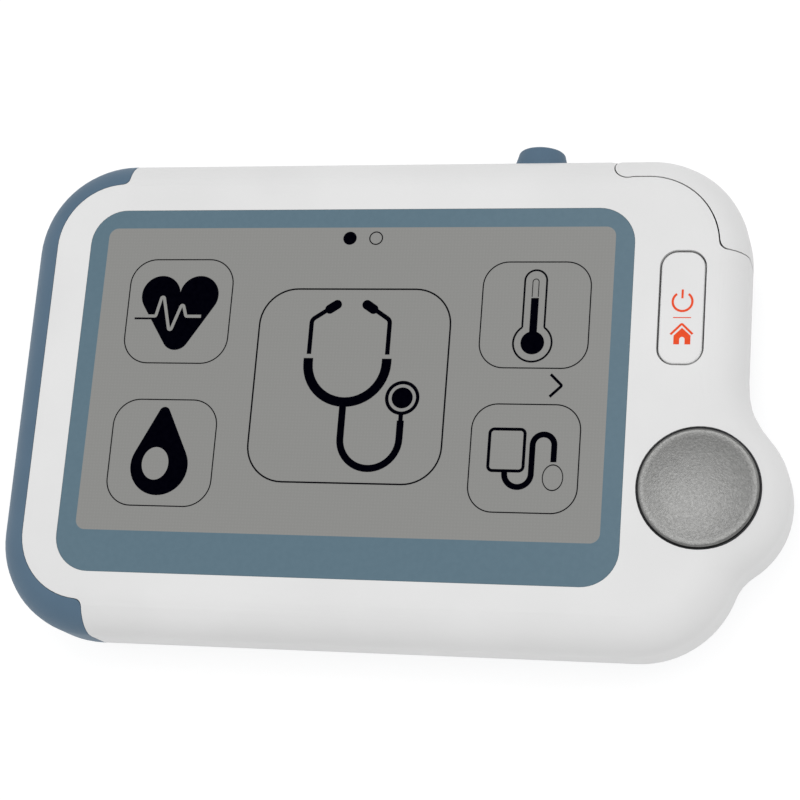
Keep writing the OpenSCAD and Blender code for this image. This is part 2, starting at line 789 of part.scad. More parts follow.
module left_electrode() {
  color(stainless) translate([left_x, 0, left_plate_z]) rotate([0, 90, 0]) {
    linear_extrude(plate_t) stadium(left_plate[1], left_plate[0]);
    cylinder(r = left_post_r, h = wall + 0.4);
  }
}

module rear_electrode() {
  color(stainless) translate([rear_plate_c[0], rear_plate_c[1], 0]) {
    linear_extrude(plate_t) rotate([0, 0, 90]) stadium(rear_plate[1], rear_plate[0]);
    cylinder(r = rear_post_r, h = wall + 0.8);
  }
}

// Bent contact strips: one up to the thumb electrode, one down to the rear plate, one to the left
module electrode_springs() {
  strip = 1.6;
  t = 0.2;
  up = electrode_stem_under - board_top;
  down = board_z - (wall + 0.8);
  color("#c9a24b") {
    translate([bulge[0] - 2, bulge[1] + strip / 2, board_top]) rotate([90, 0, 0]) linear_extrude(strip)
      spring_strip(4, up, t);
    translate([rear_plate_c[0] - 2, rear_plate_c[1] + strip / 2, wall + 0.8]) rotate([90, 0, 0]) linear_extrude(strip)
      spring_strip(4, down, t);
    translate([left_x + wall + 0.4, -strip / 2, left_plate_z - 0.6]) cube([t, strip, board_z - left_plate_z + 0.6]);
    translate([left_x + wall + 0.4, -strip / 2, board_z - t]) cube([2.4, strip, t]);
  }
}

// Side view of a strip bent like a flat Z, as high as h
module spring_strip(w, h, t) {
  square([w, t]);
  translate([0, h - t]) square([w, t]);
  polygon([[0, 0], [t * 1.5, 0], [w, h - t], [w, h], [w - t * 1.5, h], [0, t]]);
}

// ------------------------------------------------------------------ sound and port

module speaker() {
  color("#33363a") translate([speaker_c[0], speaker_c[1], wall]) {
    cylinder(r = speaker_d / 2, h = speaker_t - 1);
    translate([0, 0, speaker_t - 1]) cylinder(r = speaker_d / 2 - 2, h = 1);
  }
}

module data_port() {
  color("#a9abae") translate([port_at[0] - port[0] / 2, port_at[1] - port[1], port_at[2]]) {
    difference() {
      cube(port);
      translate([port_shell, 1, port_shell])
        cube([port[0] - 2 * port_shell, port[1], port[2] - 2 * port_shell]);
    }
    translate([1.4, 0, port[2] / 2 - 0.3]) cube([port[0] - 2.8, port[1] - 0.8, 0.6]);
  }
}

// ------------------------------------------------------------------ thermometer

module thermometer_nozzle() {
  lip_r = 0.5;
  back_y = top_y - wall - nozzle_gap - nozzle_flange_t;
  color(blue_plastic) difference() {
    union() {
      on_y(nozzle_x, back_y, nozzle_z) cylinder(r = nozzle_flange_r, h = nozzle_flange_t);
      on_y(nozzle_x, back_y, nozzle_z) cylinder(r = nozzle_r, h = top_y + 0.3 - back_y);
      on_y(nozzle_x, 0, nozzle_z) rotate_extrude() polygon(concat(
        [[0, top_y], [nozzle_r, top_y], [nozzle_r, top_y + 0.3]],
        arc_points([nozzle_tip_r - lip_r, top_y + nozzle_reach - lip_r], lip_r, 0, 90),
        [[0, top_y + nozzle_reach]]));
    }
    on_y(nozzle_x, back_y - over, nozzle_z) cylinder(r = ir_can_r + 0.05, h = can_top_y + 0.3 - back_y + over);
    on_y(nozzle_x, can_top_y, nozzle_z) cylinder(r1 = aperture_r - 0.1, r2 = aperture_r + 0.4, h = nozzle_reach + 0.5, $fn = 72);
  }
}

module ir_sensor() {
  color(stainless) difference() {
    union() {
      on_y(nozzle_x, can_top_y - can_l, nozzle_z) cylinder(r = ir_can_r, h = can_l);
      for (s = [-1, 1])
        on_y(nozzle_x + s * 0.9, can_top_y - can_l - 2, nozzle_z) cylinder(r = 0.22, h = 2.2, $fn = 24);
    }
    on_y(nozzle_x, can_top_y - 0.3, nozzle_z) cylinder(r = 1.3, h = 1);
  }
}

module ir_window() {
  color("#20232a") on_y(nozzle_x, can_top_y - 0.3, nozzle_z) cylinder(r = 1.28, h = 0.25);
}

// ------------------------------------------------------------------ finger clip

module clip_arm() {
  color(white_plastic) difference() {
    difference() {
      intersection() {
        case_solid();
        translate([0, 0, -over]) linear_extrude(body_t + 2 * over) arm_plan(0);
      }
      translate([pin_at[0] - 3, pin_at[1] - 3, lug_z - lug_gap])
        cube([3 + knuckle_r + 0.3, 6, knuckle_upper_z - lug_z + lug_gap]);
      pad_solid(clip_w - pad_t, clip_w + 1, 0);
    }
    translate([pin_at[0], pin_at[1], -over]) cylinder(r = pin_r + thread_clearance, h = pin_top + over);
    corner_window(window_r + plate_gap, arm_inner_r - 1, arm_inner_r + window_depth);
    translate([pin_at[0], pin_at[1], knuckle_upper_z - over]) rotate([0, 0, leg_angle + leg_turn - 65])
      rotate_extrude(angle = 80) translate([coil_r - wire_d / 2 - 0.05, 0])
        square([wire_d + 0.1, leg_l + over]);
  }
}

module clip_pad() {
  color(dark_rubber) difference() {
    pad_solid(clip_w - pad_t, clip_w, plate_gap);
    corner_window(window_r + plate_gap, arm_inner_r - 2, arm_inner_r + 3);
  }
}

module clip_emitter() {
  color("#7a1f24") intersection() {
    corner_window(window_r, arm_inner_r - 1, arm_inner_r + window_depth - plate_gap);
    translate([corner_tr[0], corner_tr[1], 0]) difference() {
      cylinder(r = corner_r, h = body_t);
      translate([0, 0, -over]) cylinder(r = arm_inner_r, h = body_t + 2 * over);
    }
  }
}

module finger_pad() {
  color(dark_rubber) difference() {
    pad_solid(clip_w + clip_gap, clip_w + clip_gap + pad_t, plate_gap);
    corner_window(window_r + plate_gap, arm_inner_r - 4, corner_r);
  }
}

module clip_detector() {
  reach = arm_inner_r - clip_gap;
  color("#20232a") intersection() {
    corner_window(window_r, reach - pad_t - window_depth + 0.5, reach + 1);
    translate([corner_tr[0], corner_tr[1], 0]) cylinder(r = reach, h = body_t);
  }
}

module hinge_pin() {
  color(stainless) translate([pin_at[0], pin_at[1], pin_z]) cylinder(r = pin_r, h = pin_top - pin_z);
}

// Torsion spring: a coil round the pin whose two ends turn into legs along the pin. The lower
// leg stands in the eye and the upper one in an arc-shaped slot in the arm.
coil_sides = 6;
coil_steps = 10;
function coil_angle(i) = leg_angle + i * 360 / coil_steps;
// Points of the wire's middle as [angle round the pin, height, tilt of the wire upwards]
function coil_path() = concat(
  [[leg_angle - leg_turn, -leg_l, 90], [leg_angle - leg_turn, -0.2, 90], [leg_angle - leg_turn / 2, -0.05, 45]],
  [for (i = [0:coil_turns * coil_steps]) [coil_angle(i), coil_h * i / (coil_turns * coil_steps), 0]],
  [[leg_angle + leg_turn / 2, coil_h + 0.05, 45], [leg_angle + leg_turn, coil_h + 0.2, 90],
   [leg_angle + leg_turn, coil_h + leg_l, 90]]);
function wire_ring(p) = [for (k = [0:coil_sides - 1])
  let (b = 360 * k / coil_sides, out = coil_r + wire_d / 2 * cos(b), rise = wire_d / 2 * sin(b),
       back = -rise * sin(p[2]))
  [out * cos(p[0]) - back * sin(p[0]), out * sin(p[0]) + back * cos(p[0]), p[1] + rise * cos(p[2])]];
module clip_spring() {
  rings = [for (p = coil_path()) wire_ring(p)];
  last = len(rings) - 1;
  color(stainless) translate([pin_at[0], pin_at[1], coil_z])
    polyhedron([for (r = rings) each r], concat(
      [[for (k = [0:coil_sides - 1]) k]],
      [for (i = [0:last - 1], k = [0:coil_sides - 1])
        let (a = i * coil_sides + k, b = i * coil_sides + (k + 1) % coil_sides)
        [a, a + coil_sides, b + coil_sides, b]],
      [[for (k = [coil_sides - 1:-1:0]) last * coil_sides + k]]));
}

// ------------------------------------------------------------------ fasteners

module case_screws() {
  color("#8f9296") for (p = screw_at) translate([p[0], p[1], 0]) difference() {
    union() {
      translate([0, 0, 0.3]) cylinder(r = screw_head_d / 2, h = head_seat_z - 0.3);
      cylinder(r = screw_d / 2, h = screw_end_z);
      translate([0, 0, 0.3]) cylinder(r = screw_d / 2, h = 0.5);
    }
    translate([0, 0, -over]) cylinder(r = 5, h = 0.3 + over);
    translate([-1, -0.15, -over]) cube([2, 0.3, over + 0.7]);
    translate([-0.15, -1, -over]) cube([0.3, 2, over + 0.7]);
  }
}

front_housing();
rear_housing();
touch_lens();
lcd_module();
display_frame();
display_flex();
main_board();
board_parts();
battery_pack();
battery_pad();
battery_leads();
home_button();
switch_plunger();
home_switch();
thumb_electrode();
electrode_ring();
left_electrode();
rear_electrode();
electrode_springs();
speaker();
data_port();
thermometer_nozzle();
ir_sensor();
ir_window();
clip_arm();
clip_pad();
clip_emitter();
finger_pad();
clip_detector();
hinge_pin();
clip_spring();
case_screws();
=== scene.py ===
import math

import bmesh
import bpy
from mathutils import Matrix, Vector


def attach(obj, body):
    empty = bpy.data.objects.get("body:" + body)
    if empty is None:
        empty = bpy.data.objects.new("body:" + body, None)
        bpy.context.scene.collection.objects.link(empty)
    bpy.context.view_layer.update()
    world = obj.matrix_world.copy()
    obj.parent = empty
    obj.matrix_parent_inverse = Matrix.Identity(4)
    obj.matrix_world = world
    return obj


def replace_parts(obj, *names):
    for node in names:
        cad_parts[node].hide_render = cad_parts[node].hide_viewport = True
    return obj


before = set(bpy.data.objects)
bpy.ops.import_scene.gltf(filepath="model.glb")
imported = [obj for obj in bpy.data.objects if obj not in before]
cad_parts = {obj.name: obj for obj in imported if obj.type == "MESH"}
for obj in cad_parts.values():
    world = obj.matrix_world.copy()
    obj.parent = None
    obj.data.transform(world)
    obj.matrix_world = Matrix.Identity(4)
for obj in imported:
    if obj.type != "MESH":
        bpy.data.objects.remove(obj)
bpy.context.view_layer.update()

# Palm-size home health monitor. Sizes in this file are millimetres in the CAD's own frame, turned
# to metres when a piece is finished. +Z points out of the display and +Y towards the top edge.
MM = 0.001

FACE = 13.0                             # height of the front face and of the cover lens
LENS_C, LENS, LENS_R, LENS_T, LENS_SOFT = (-4.9, -0.1), (63.03, 42.13), 4.06, 0.9, 0.05
PICTURE_C, PICTURE, PICTURE_R = (-4.9, 1.15), (58.8, 35.3), 1.1

# Display drawings are thin plates that start just under the face. Those that meet or cross another
# stand a little higher, so that no two tops lie in one plane.
CELLS_LOW, CELLS_HIGH = FACE - 0.005, FACE + 0.02
JOINED_HIGH, OVER_HIGH, TOP_HIGH = CELLS_HIGH + 0.003, CELLS_HIGH + 0.008, CELLS_HIGH + 0.014

BUTTON_C, BUTTON, BUTTON_R = (32.0, 9.6), (4.7, 12.6), 1.75
BUTTON_TOP, CAP_LOW, BUTTON_SOFT = 12.9, 11.2, 0.18
FLANGE, FLANGE_LOW, FLANGE_HIGH = 0.8, 10.74, 11.34
STEM_R, STEM_LOW, STEM_HIGH = 1.2, 10.3, 10.8
PRINT_LOW, PRINT_HIGH = BUTTON_TOP - 0.004, BUTTON_TOP + 0.012

DISC_C, DISC_R, DISC_TOP, DISC_UNDER, DISH = (34.6, -10.2), 6.4, 13.2, 11.85, 0.35
DISC_RIM, DISC_EDGE, DISC_STEM_R, DISC_STEM_LOW = 0.5, 0.22, 2.0, 9.95
RING_HOLE, RING_OUT, RING_IN, RING_UNDER, RING_TOP = 2.1, 6.64, 6.42, 11.55, 12.75
NOZZLE_X, NOZZLE_Z = 14.5, 6.5

# What is merged: points of the CAD mesh, its needle faces, the pen's ends and a spun shape's seam.
SAME_POINT, NEEDLE, PEN_GAP, SEAM_GAP = 0.004, 0.01, 0.002, 0.0005
PEN_TURN = 7.5                          # degrees that the pen turns in one step


# ------------------------------------------------------------------ camera, floor and light

def place_camera():
    """The photograph's angle: from the right of the lower edge, 69 degrees above the face."""
    data = bpy.data.cameras.new("camera")
    data.sensor_width, data.lens = 36.0, 100.66
    data.shift_x, data.shift_y = -0.0437, -0.0437
    data.clip_start, data.clip_end = 0.01, 10.0
    camera = bpy.data.objects.new("camera", data)
    turn = Matrix(((0.97357, -0.01004, 0.22815), (0.07289, 0.96045, -0.26875),
                   (-0.21643, 0.27828, 0.93580)))
    camera.matrix_world = Matrix.Translation(Vector((61.08, -62.85, 241.74)) * MM) @ turn.to_4x4()
    bpy.context.scene.collection.objects.link(camera)
    bpy.context.scene.camera = camera


def linear(code):
    """An sRGB hex colour as the linear colour that Blender's sockets take."""
    parts = [int(code[i:i + 2], 16) / 255 for i in (1, 3, 5)]
    return [c / 12.92 if c <= 0.04045 else ((c + 0.055) / 1.055) ** 2.4 for c in parts] + [1.0]


def add(tree, kind, settings=None, values=None, links=None):
    """Adds a node with its settings, its sockets' values and its links."""
    made = tree.nodes.new("ShaderNode" + kind)
    for name, value in (settings or {}).items():
        setattr(made, name, value)
    for name, value in (values or {}).items():
        made.inputs[name].default_value = value
    for name, source in (links or {}).items():
        tree.links.new(source, made.inputs[name])
    return made


def seen_directly(tree):
    """1 where the camera, a mirror-like surface or a clear one looks at the background."""
    path = add(tree, "LightPath")
    either = add(tree, "Math", {"operation": "MAXIMUM"},
                 links={0: path.outputs["Is Camera Ray"], 1: path.outputs["Is Glossy Ray"]})
    return add(tree, "Math", {"operation": "MAXIMUM"},
               links={0: either.outputs[0], 1: path.outputs["Is Transmission Ray"]}).outputs[0]


def make_studio():
    """White floor and surroundings, a round soft box above and weaker ones on three sides."""
    world = bpy.data.worlds.new("studio")
    bpy.context.scene.world = world
    world.use_nodes = True
    tree = world.node_tree
    tree.nodes.clear()
    room = add(tree, "Background", values={"Color": linear("#ffffff"), "Strength": 0.665})
    white = add(tree, "Background", values={"Color": linear("#ffffff"), "Strength": 1.0})
    mix = add(tree, "MixShader",
              links={0: seen_directly(tree), 1: room.outputs[0], 2: white.outputs[0]})
    add(tree, "OutputWorld", links={"Surface": mix.outputs[0]})

    # Seamless paper: it is lit and shadowed as paper is, shows almost white to the camera and is
    # clear from below, so that a view of the rear face looks through it.
    paper = bpy.data.materials.new("white_paper_floor")
    paper.use_nodes = True
    tree = paper.node_tree
    tree.nodes.clear()
    lit = add(tree, "BsdfDiffuse", values={"Color": linear("#e8e8e8")})
    veil = add(tree, "BsdfDiffuse", values={"Color": linear("#7c7c7c")})
    glow = add(tree, "Emission", values={"Color": linear("#ffffff"), "Strength": 0.86})
    bright = add(tree, "AddShader", links={0: veil.outputs[0], 1: glow.outputs[0]})
    upper = add(tree, "MixShader",
                links={0: seen_directly(tree), 1: lit.outputs[0], 2: bright.outputs[0]})
    clear = add(tree, "BsdfTransparent")
    side = add(tree, "NewGeometry")
    both = add(tree, "MixShader",
               links={0: side.outputs["Backfacing"], 1: upper.outputs[0], 2: clear.outputs[0]})
    add(tree, "OutputMaterial", links={"Surface": both.outputs[0]})
    work = bmesh.new()
    bmesh.ops.create_circle(work, cap_ends=True, radius=2.5, segments=64)
    bmesh.ops.translate(work, vec=(0, 0, -0.00005), verts=work.verts)
    mesh = bpy.data.meshes.new("floor")
    work.to_mesh(mesh)
    work.free()
    mesh.materials.append(paper)
    floor = bpy.data.objects.new("floor", mesh)
    bpy.context.scene.collection.objects.link(floor)

    for name, place, size, watts in (("key", (-0.05, 0.28, 0.96), 0.3, 1.45),
                                     ("left", (-0.5, 0.1, 0.6), 0.5, 0.6),
                                     ("right", (0.5, 0.25, 0.55), 0.5, 0.9),
                                     ("front", (0.05, -0.6, 0.4), 0.5, 0.5)):
        data = bpy.data.lights.new(name, "AREA")
        data.shape, data.size, data.energy = "DISK", size, watts
        lamp = bpy.data.objects.new(name, data)
        lamp.location = place
        lamp.rotation_euler = (-Vector(place)).to_track_quat("-Z", "Y").to_euler()
        bpy.context.scene.collection.objects.link(lamp)
    bpy.context.scene.view_settings.view_transform = "Standard"


# ------------------------------------------------------------------ finishes

def finish_of(name, code, **shader):
    """A material with a Principled shader, its node tree, and where a point is on the object."""
    material = bpy.data.materials.new(name)
    material.use_nodes = True
    tree = material.node_tree
    tree.nodes.clear()
    surface = add(tree, "BsdfPrincipled", values={"Base Color": linear(code)})
    for socket, value in shader.items():
        surface.inputs[socket.replace("_", " ")].default_value = value
    add(tree, "OutputMaterial", links={"Surface": surface.outputs[0]})
    where = add(tree, "TexCoord").outputs["Object"]
    return material, tree, surface, where


def mottle(tree, surface, where, code_a, code_b, size, low=0.35, high=0.65, stretch=(1, 1, 1)):
    """Two tones that run into each other in patches of about size mm."""
    placed = add(tree, "Mapping", values={"Scale": stretch}, links={"Vector": where})
    noise = add(tree, "TexNoise", values={"Scale": 1 / (size * MM), "Detail": 3.0},
                links={"Vector": placed.outputs[0]})
    ramp = add(tree, "ValToRGB", links={"Fac": noise.outputs["Fac"]})
    ramp.color_ramp.elements[0].position, ramp.color_ramp.elements[1].position = low, high
    ramp.color_ramp.elements[0].color = linear(code_a)
    ramp.color_ramp.elements[1].color = linear(code_b)
    tree.links.new(ramp.outputs["Color"], surface.inputs["Base Color"])


def grain(tree, surface, where, size, depth, stretch=(1, 1, 1), rough=None):
    """A fine relief of size mm grains, depth mm deep. rough is the span of roughness over it."""
    placed = add(tree, "Mapping", values={"Scale": stretch}, links={"Vector": where})
    noise = add(tree, "TexNoise", values={"Scale": 1 / (size * MM), "Detail": 2.0},
                links={"Vector": placed.outputs[0]})
    bump = add(tree, "Bump", values={"Strength": 1.0, "Distance": depth * MM},
               links={"Height": noise.outputs["Fac"]})
    tree.links.new(bump.outputs["Normal"], surface.inputs["Normal"])
    if rough:
        span = add(tree, "MapRange", values={"To Min": rough[0], "To Max": rough[1]},
                   links={"Value": noise.outputs["Fac"]})
        tree.links.new(span.outputs["Result"], surface.inputs["Roughness"])


def white_abs():
    # White ABS moulded in a spark-eroded tool: an even matt white with a soft, broad sheen. The
    # erosion is about 0.1 mm across; it is drawn at 0.3 mm so that it shows.
    material, tree, surface, where = finish_of(
        "white_moulded_abs", "#dfdfdf", Roughness=0.48, Specular_IOR_Level=0.25)
    mottle(tree, surface, where, "#dddddd", "#e1e1e1", 14)
    grain(tree, surface, where, 0.3, 0.0035, rough=(0.42, 0.54))
    return material


def blue_abs():
    # Blue-grey ABS moulded in the same kind of tool: matt, with the same grain, which is drawn at
    # 0.3 mm here too.
    material, tree, surface, where = finish_of(
        "blue_moulded_abs", "#50687c", Roughness=0.5, Specular_IOR_Level=0.25)
    mottle(tree, surface, where, "#4e667a", "#536b7f", 9)
    grain(tree, surface, where, 0.3, 0.004, rough=(0.45, 0.58))
    return material


def printed_border():
    # Clear acrylic, screen printed blue-grey on its back: a flat, even colour under a hard gloss.
    material, tree, surface, where = finish_of(
        "back_printed_acrylic", "#5e7582", Roughness=0.2, IOR=1.49, Specular_IOR_Level=0.04)
    mottle(tree, surface, where, "#5d7481", "#5f7683", 0.6)
    grain(tree, surface, where, 6.0, 0.004)
    return material


def display_grey():
    # Reflective monochrome display behind the acrylic: warm mid grey with a fine grid of cells. The
    # cells are 0.12 mm; they are drawn at 0.36 mm, faintly, so that they show.
    material, tree, surface, where = finish_of(
        "display_cells_grey", "#8c8c8a", Roughness=0.3, IOR=1.49, Specular_IOR_Level=0.04)
    tones = []
    for axis in ("X", "Y"):
        tones.append(add(tree, "TexWave", {"bands_direction": axis},
                         {"Scale": 2 * math.pi / (20 * 0.36 * MM), "Distortion": 0.0},
                         {"Vector": where}))
    both = add(tree, "Math", {"operation": "MULTIPLY"},
               links={0: tones[0].outputs["Fac"], 1: tones[1].outputs["Fac"]})
    ramp = add(tree, "ValToRGB", links={"Fac": both.outputs[0]})
    ramp.color_ramp.elements[0].color = linear("#8b8b89")
    ramp.color_ramp.elements[1].color = linear("#8e8e8c")
    tree.links.new(ramp.outputs["Color"], surface.inputs["Base Color"])
    return material


def display_black():
    # Driven cells of the same display: near black with a trace of blue, as even as ink.
    material, tree, surface, where = finish_of(
        "display_cells_black", "#020208", Roughness=0.45, IOR=1.49, Specular_IOR_Level=0.0)
    mottle(tree, surface, where, "#010107", "#03030a", 0.5)
    return material


def orange_ink():
    # Two-part pad-printing ink: a thin opaque orange film, slightly glossier than the plastic.
    material, tree, surface, where = finish_of(
        "orange_pad_print", "#e4491a", Roughness=0.38, Specular_IOR_Level=0.1)
    mottle(tree, surface, where, "#e24617", "#e84e1f", 0.5)
    grain(tree, surface, where, 0.3, 0.002)
    return material


def blasted_steel():
    # Stainless steel, turned and then bead blasted: neutral grey metal without direction, with a
    # fine sparkling grain. The pits are 0.08 mm; they are drawn at 0.22 mm so that they show.
    material, tree, surface, where = finish_of(
        "bead_blasted_stainless", "#676766", Metallic=1.0, Roughness=0.33)
    mottle(tree, surface, where, "#60605f", "#6d6d6c", 0.28, 0.3, 0.7)
    grain(tree, surface, where, 0.22, 0.012, rough=(0.29, 0.39))
    return material


def sheet_steel():
    # Zinc-plated sheet: cold grey metal with a faint rolled direction and soft spangle.
    material, tree, surface, where = finish_of(
        "zinc_plated_sheet", "#b9bcbd", Metallic=1.0, Roughness=0.35)
    mottle(tree, surface, where, "#adb0b1", "#c2c5c6", 2.5)
    grain(tree, surface, where, 0.2, 0.002, stretch=(0.1, 1, 1), rough=(0.3, 0.42))
    return material


def drawn_steel():
    # Bright drawn stainless wire and pin: smooth, with fine lines along the length.
    material, tree, surface, where = finish_of(
        "drawn_stainless", "#b4b2ae", Metallic=1.0, Roughness=0.28)
    mottle(tree, surface, where, "#a9a7a3", "#bdbbb7", 0.4, stretch=(1, 1, 0.1))
    grain(tree, surface, where, 0.1, 0.001, stretch=(1, 1, 0.1))
    return material


def screw_steel():
    # Screw steel in black zinc: dark satin metal, rubbed brighter in patches.
    material, tree, surface, where = finish_of(
        "black_zinc_steel", "#85888c", Metallic=1.0, Roughness=0.36)
    mottle(tree, surface, where, "#777a7e", "#96999d", 0.5)
    grain(tree, surface, where, 0.15, 0.002, rough=(0.3, 0.45))
    return material


def spring_bronze():
    # Phosphor bronze strip, gold flashed at the contacts: warm yellow metal.
    material, tree, surface, where = finish_of(
        "phosphor_bronze", "#c9a24b", Metallic=1.0, Roughness=0.3)
    mottle(tree, surface, where, "#bf9743", "#d2ac57", 0.8)
    grain(tree, surface, where, 0.15, 0.001, stretch=(0.1, 1, 1))
    return material


def copper_film():
    # Polyimide film over copper: amber, with the conductors showing as darker lines 0.5 mm apart.
    material, tree, surface, where = finish_of("polyimide_film", "#c98a3c", Roughness=0.3, IOR=1.7)
    lines = add(tree, "TexWave", {"bands_direction": "X"},
                {"Scale": 2 * math.pi / (20 * 0.5 * MM), "Distortion": 0.0}, {"Vector": where})
    ramp = add(tree, "ValToRGB", links={"Fac": lines.outputs["Fac"]})
    ramp.color_ramp.elements[0].color = linear("#a9682a")
    ramp.color_ramp.elements[1].color = linear("#cf9244")
    tree.links.new(ramp.outputs["Color"], surface.inputs["Base Color"])
    grain(tree, surface, where, 0.5, 0.004)
    return material


def board_green():
    # Glass-epoxy board under green solder mask: glossy green over the weave of the glass, 0.4 mm.
    material, tree, surface, where = finish_of(
        "solder_mask_board", "#2f6b46", Roughness=0.3, IOR=1.5)
    weave = add(tree, "TexChecker", values={"Scale": 1 / (0.8 * MM), "Color1": linear("#2a6340"),
                                            "Color2": linear("#33724b")}, links={"Vector": where})
    tree.links.new(weave.outputs["Color"], surface.inputs["Base Color"])
    grain(tree, surface, where, 0.4, 0.003)
    return material


def moulded_epoxy():
    # Black moulding compound of chips and connectors: dull charcoal with a fine sandy grain.
    material, tree, surface, where = finish_of("moulded_epoxy", "#3a3d41", Roughness=0.55, IOR=1.5)
    mottle(tree, surface, where, "#35383c", "#404347", 0.8)
    grain(tree, surface, where, 0.12, 0.003)
    return material


def cell_foil():
    # Aluminium laminate pouch: silvery film with a soft orange-peel from pressing.
    material, tree, surface, where = finish_of(
        "aluminium_laminate", "#b9bcc0", Metallic=0.8, Roughness=0.32)
    mottle(tree, surface, where, "#b0b3b7", "#c2c5c9", 3)
    grain(tree, surface, where, 1.6, 0.03, rough=(0.26, 0.4))
    return material


def foam():
    # Closed-cell foam tape: dark grey, all small cells about 0.4 mm across, no shine.
    material, tree, surface, where = finish_of("closed_cell_foam", "#4a4a4a", Roughness=0.95)
    cells = add(tree, "TexVoronoi", values={"Scale": 1 / (0.4 * MM)}, links={"Vector": where})
    ramp = add(tree, "ValToRGB", links={"Fac": cells.outputs["Distance"]})
    ramp.color_ramp.elements[0].color = linear("#3b3b3b")
    ramp.color_ramp.elements[1].color = linear("#545454")
    tree.links.new(ramp.outputs["Color"], surface.inputs["Base Color"])
    bump = add(tree, "Bump", values={"Strength": 1.0, "Distance": 0.03 * MM},
               links={"Height": cells.outputs["Distance"]})
    tree.links.new(bump.outputs["Normal"], surface.inputs["Normal"])
    return material


def lead_sleeve():
    # PVC wire insulation: extruded red, smooth with a soft gloss.
    material, tree, surface, where = finish_of(
        "pvc_wire_sleeve", "#a03028", Roughness=0.4, IOR=1.53)
    mottle(tree, surface, where, "#982c25", "#a8352c", 0.6)
    grain(tree, surface, where, 0.4, 0.004)
    return material


def black_silicone():
    # Moulded silicone rubber: soft black, dusty sheen, very fine grain.
    material, tree, surface, where = finish_of(
        "moulded_silicone", "#232427", Roughness=0.7, IOR=1.43, Sheen_Weight=0.08)
    mottle(tree, surface, where, "#1f2023", "#292a2d", 1.5)
    grain(tree, surface, where, 0.2, 0.005)
    return material


def black_polymer():
    # Black acetal, turned or moulded: smooth and waxy.
    material, tree, surface, where = finish_of("black_acetal", "#1f1f22", Roughness=0.38, IOR=1.48)
    mottle(tree, surface, where, "#1c1c1f", "#252528", 0.8)
    grain(tree, surface, where, 0.25, 0.002)
    return material


def dark_filter():
    # Infrared-pass filter glass: almost black, mirror smooth, with a violet cast.
    material, tree, surface, where = finish_of(
        "infrared_filter", "#20232a", Roughness=0.08, IOR=1.52)
    mottle(tree, surface, where, "#1c1f28", "#26262f", 1.0)
    return material


def red_filter():
    # Deep red tinted epoxy over the emitters: dark ruby with a clear surface.
    material, tree, surface, where = finish_of(
        "red_tinted_epoxy", "#7a1f24", Roughness=0.15, IOR=1.54)
    mottle(tree, surface, where, "#701b20", "#86242a", 0.7)
    return material


def display_glass():
    # Cut edges of display glass: grey-green, smooth.
    material, tree, surface, where = finish_of("display_glass", "#8f8f8d", Roughness=0.12, IOR=1.52)
    mottle(tree, surface, where, "#8a8c8a", "#949491", 3)
    return material


def nickel_shell():
    # Nickel-plated brass stamping: warm bright metal with slight drawing lines.
    material, tree, surface, where = finish_of(
        "nickel_plated_shell", "#a9abae", Metallic=1.0, Roughness=0.26)
    mottle(tree, surface, where, "#a19f9c", "#b3b2ae", 0.7)
    grain(tree, surface, where, 0.15, 0.001, stretch=(1, 0.1, 1))
    return material


# ------------------------------------------------------------------ making pieces

def finished(name, work, materials, body, sharp=30.0, even=False):
    """Turns a bmesh in millimetres into a smooth-shaded object that rides on a body."""
    bmesh.ops.scale(work, vec=(MM, MM, MM), verts=work.verts)
    for edge in work.edges:
        edge.smooth = len(edge.link_faces) == 2 and edge.calc_face_angle(0) < math.radians(sharp)
    for face in work.faces:
        face.smooth = True
    mesh = bpy.data.meshes.new(name)
    work.to_mesh(mesh)
    work.free()
    for material in materials if isinstance(materials, (list, tuple)) else [materials]:
        mesh.materials.append(material)
    piece = bpy.data.objects.new(name, mesh)
    bpy.context.scene.collection.objects.link(piece)
    if even:
        weigh = piece.modifiers.new("even_normals", "WEIGHTED_NORMAL")
        weigh.keep_sharp = True
    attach(piece, body)
    return piece


def copy_of(node):
    """A CAD node's mesh, merged, in millimetres and without the needles between its flat faces."""
    work = bmesh.new()
    work.from_mesh(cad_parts[node].data)
    bmesh.ops.scale(work, vec=(1 / MM, 1 / MM, 1 / MM), verts=work.verts)
    bmesh.ops.remove_doubles(work, verts=work.verts, dist=SAME_POINT)
    bmesh.ops.dissolve_degenerate(work, dist=NEEDLE, edges=work.edges)
    bmesh.ops.dissolve_limit(work, angle_limit=math.radians(0.5), verts=work.verts,
                             edges=work.edges)
    bmesh.ops.dissolve_degenerate(work, dist=NEEDLE, edges=work.edges)
    return work


def draw(work, start, moves, width=None):
    """Draws with a pen from start: ("by", dx, dy) goes straight and ("round", cx, cy, degrees)
    turns about a point. Without a width the pen leaves a line. With one the pen is an edge across
    its first way, and leaves a band of faces."""
    x, y = start
    if width is None:
        last = [work.verts.new((x, y, 0))]
    else:
        kind, *first = moves[0]
        if kind == "by":
            ahead = Vector(first)
        else:
            ahead = Vector((first[1] - y, x - first[0])) * first[2]
        side = Vector((-ahead.y, ahead.x)).normalized() * width / 2
        ends = [work.verts.new((x + side.x, y + side.y, 0)),
                work.verts.new((x - side.x, y - side.y, 0))]
        last = ends + [work.edges.new(ends)]
    for kind, *way in moves:
        if kind == "by":
            made = bmesh.ops.spin(work, geom=last, cent=(0, 0, 0), axis=(0, 0, 1), angle=0,
                                  dvec=(way[0], way[1], 0), steps=1)
        else:
            made = bmesh.ops.spin(work, geom=last, cent=(way[0], way[1], 0), axis=(0, 0, 1),
                                  angle=math.radians(way[2]),
                                  steps=max(2, int(abs(way[2]) / PEN_TURN)))
        last = made["geom_last"]


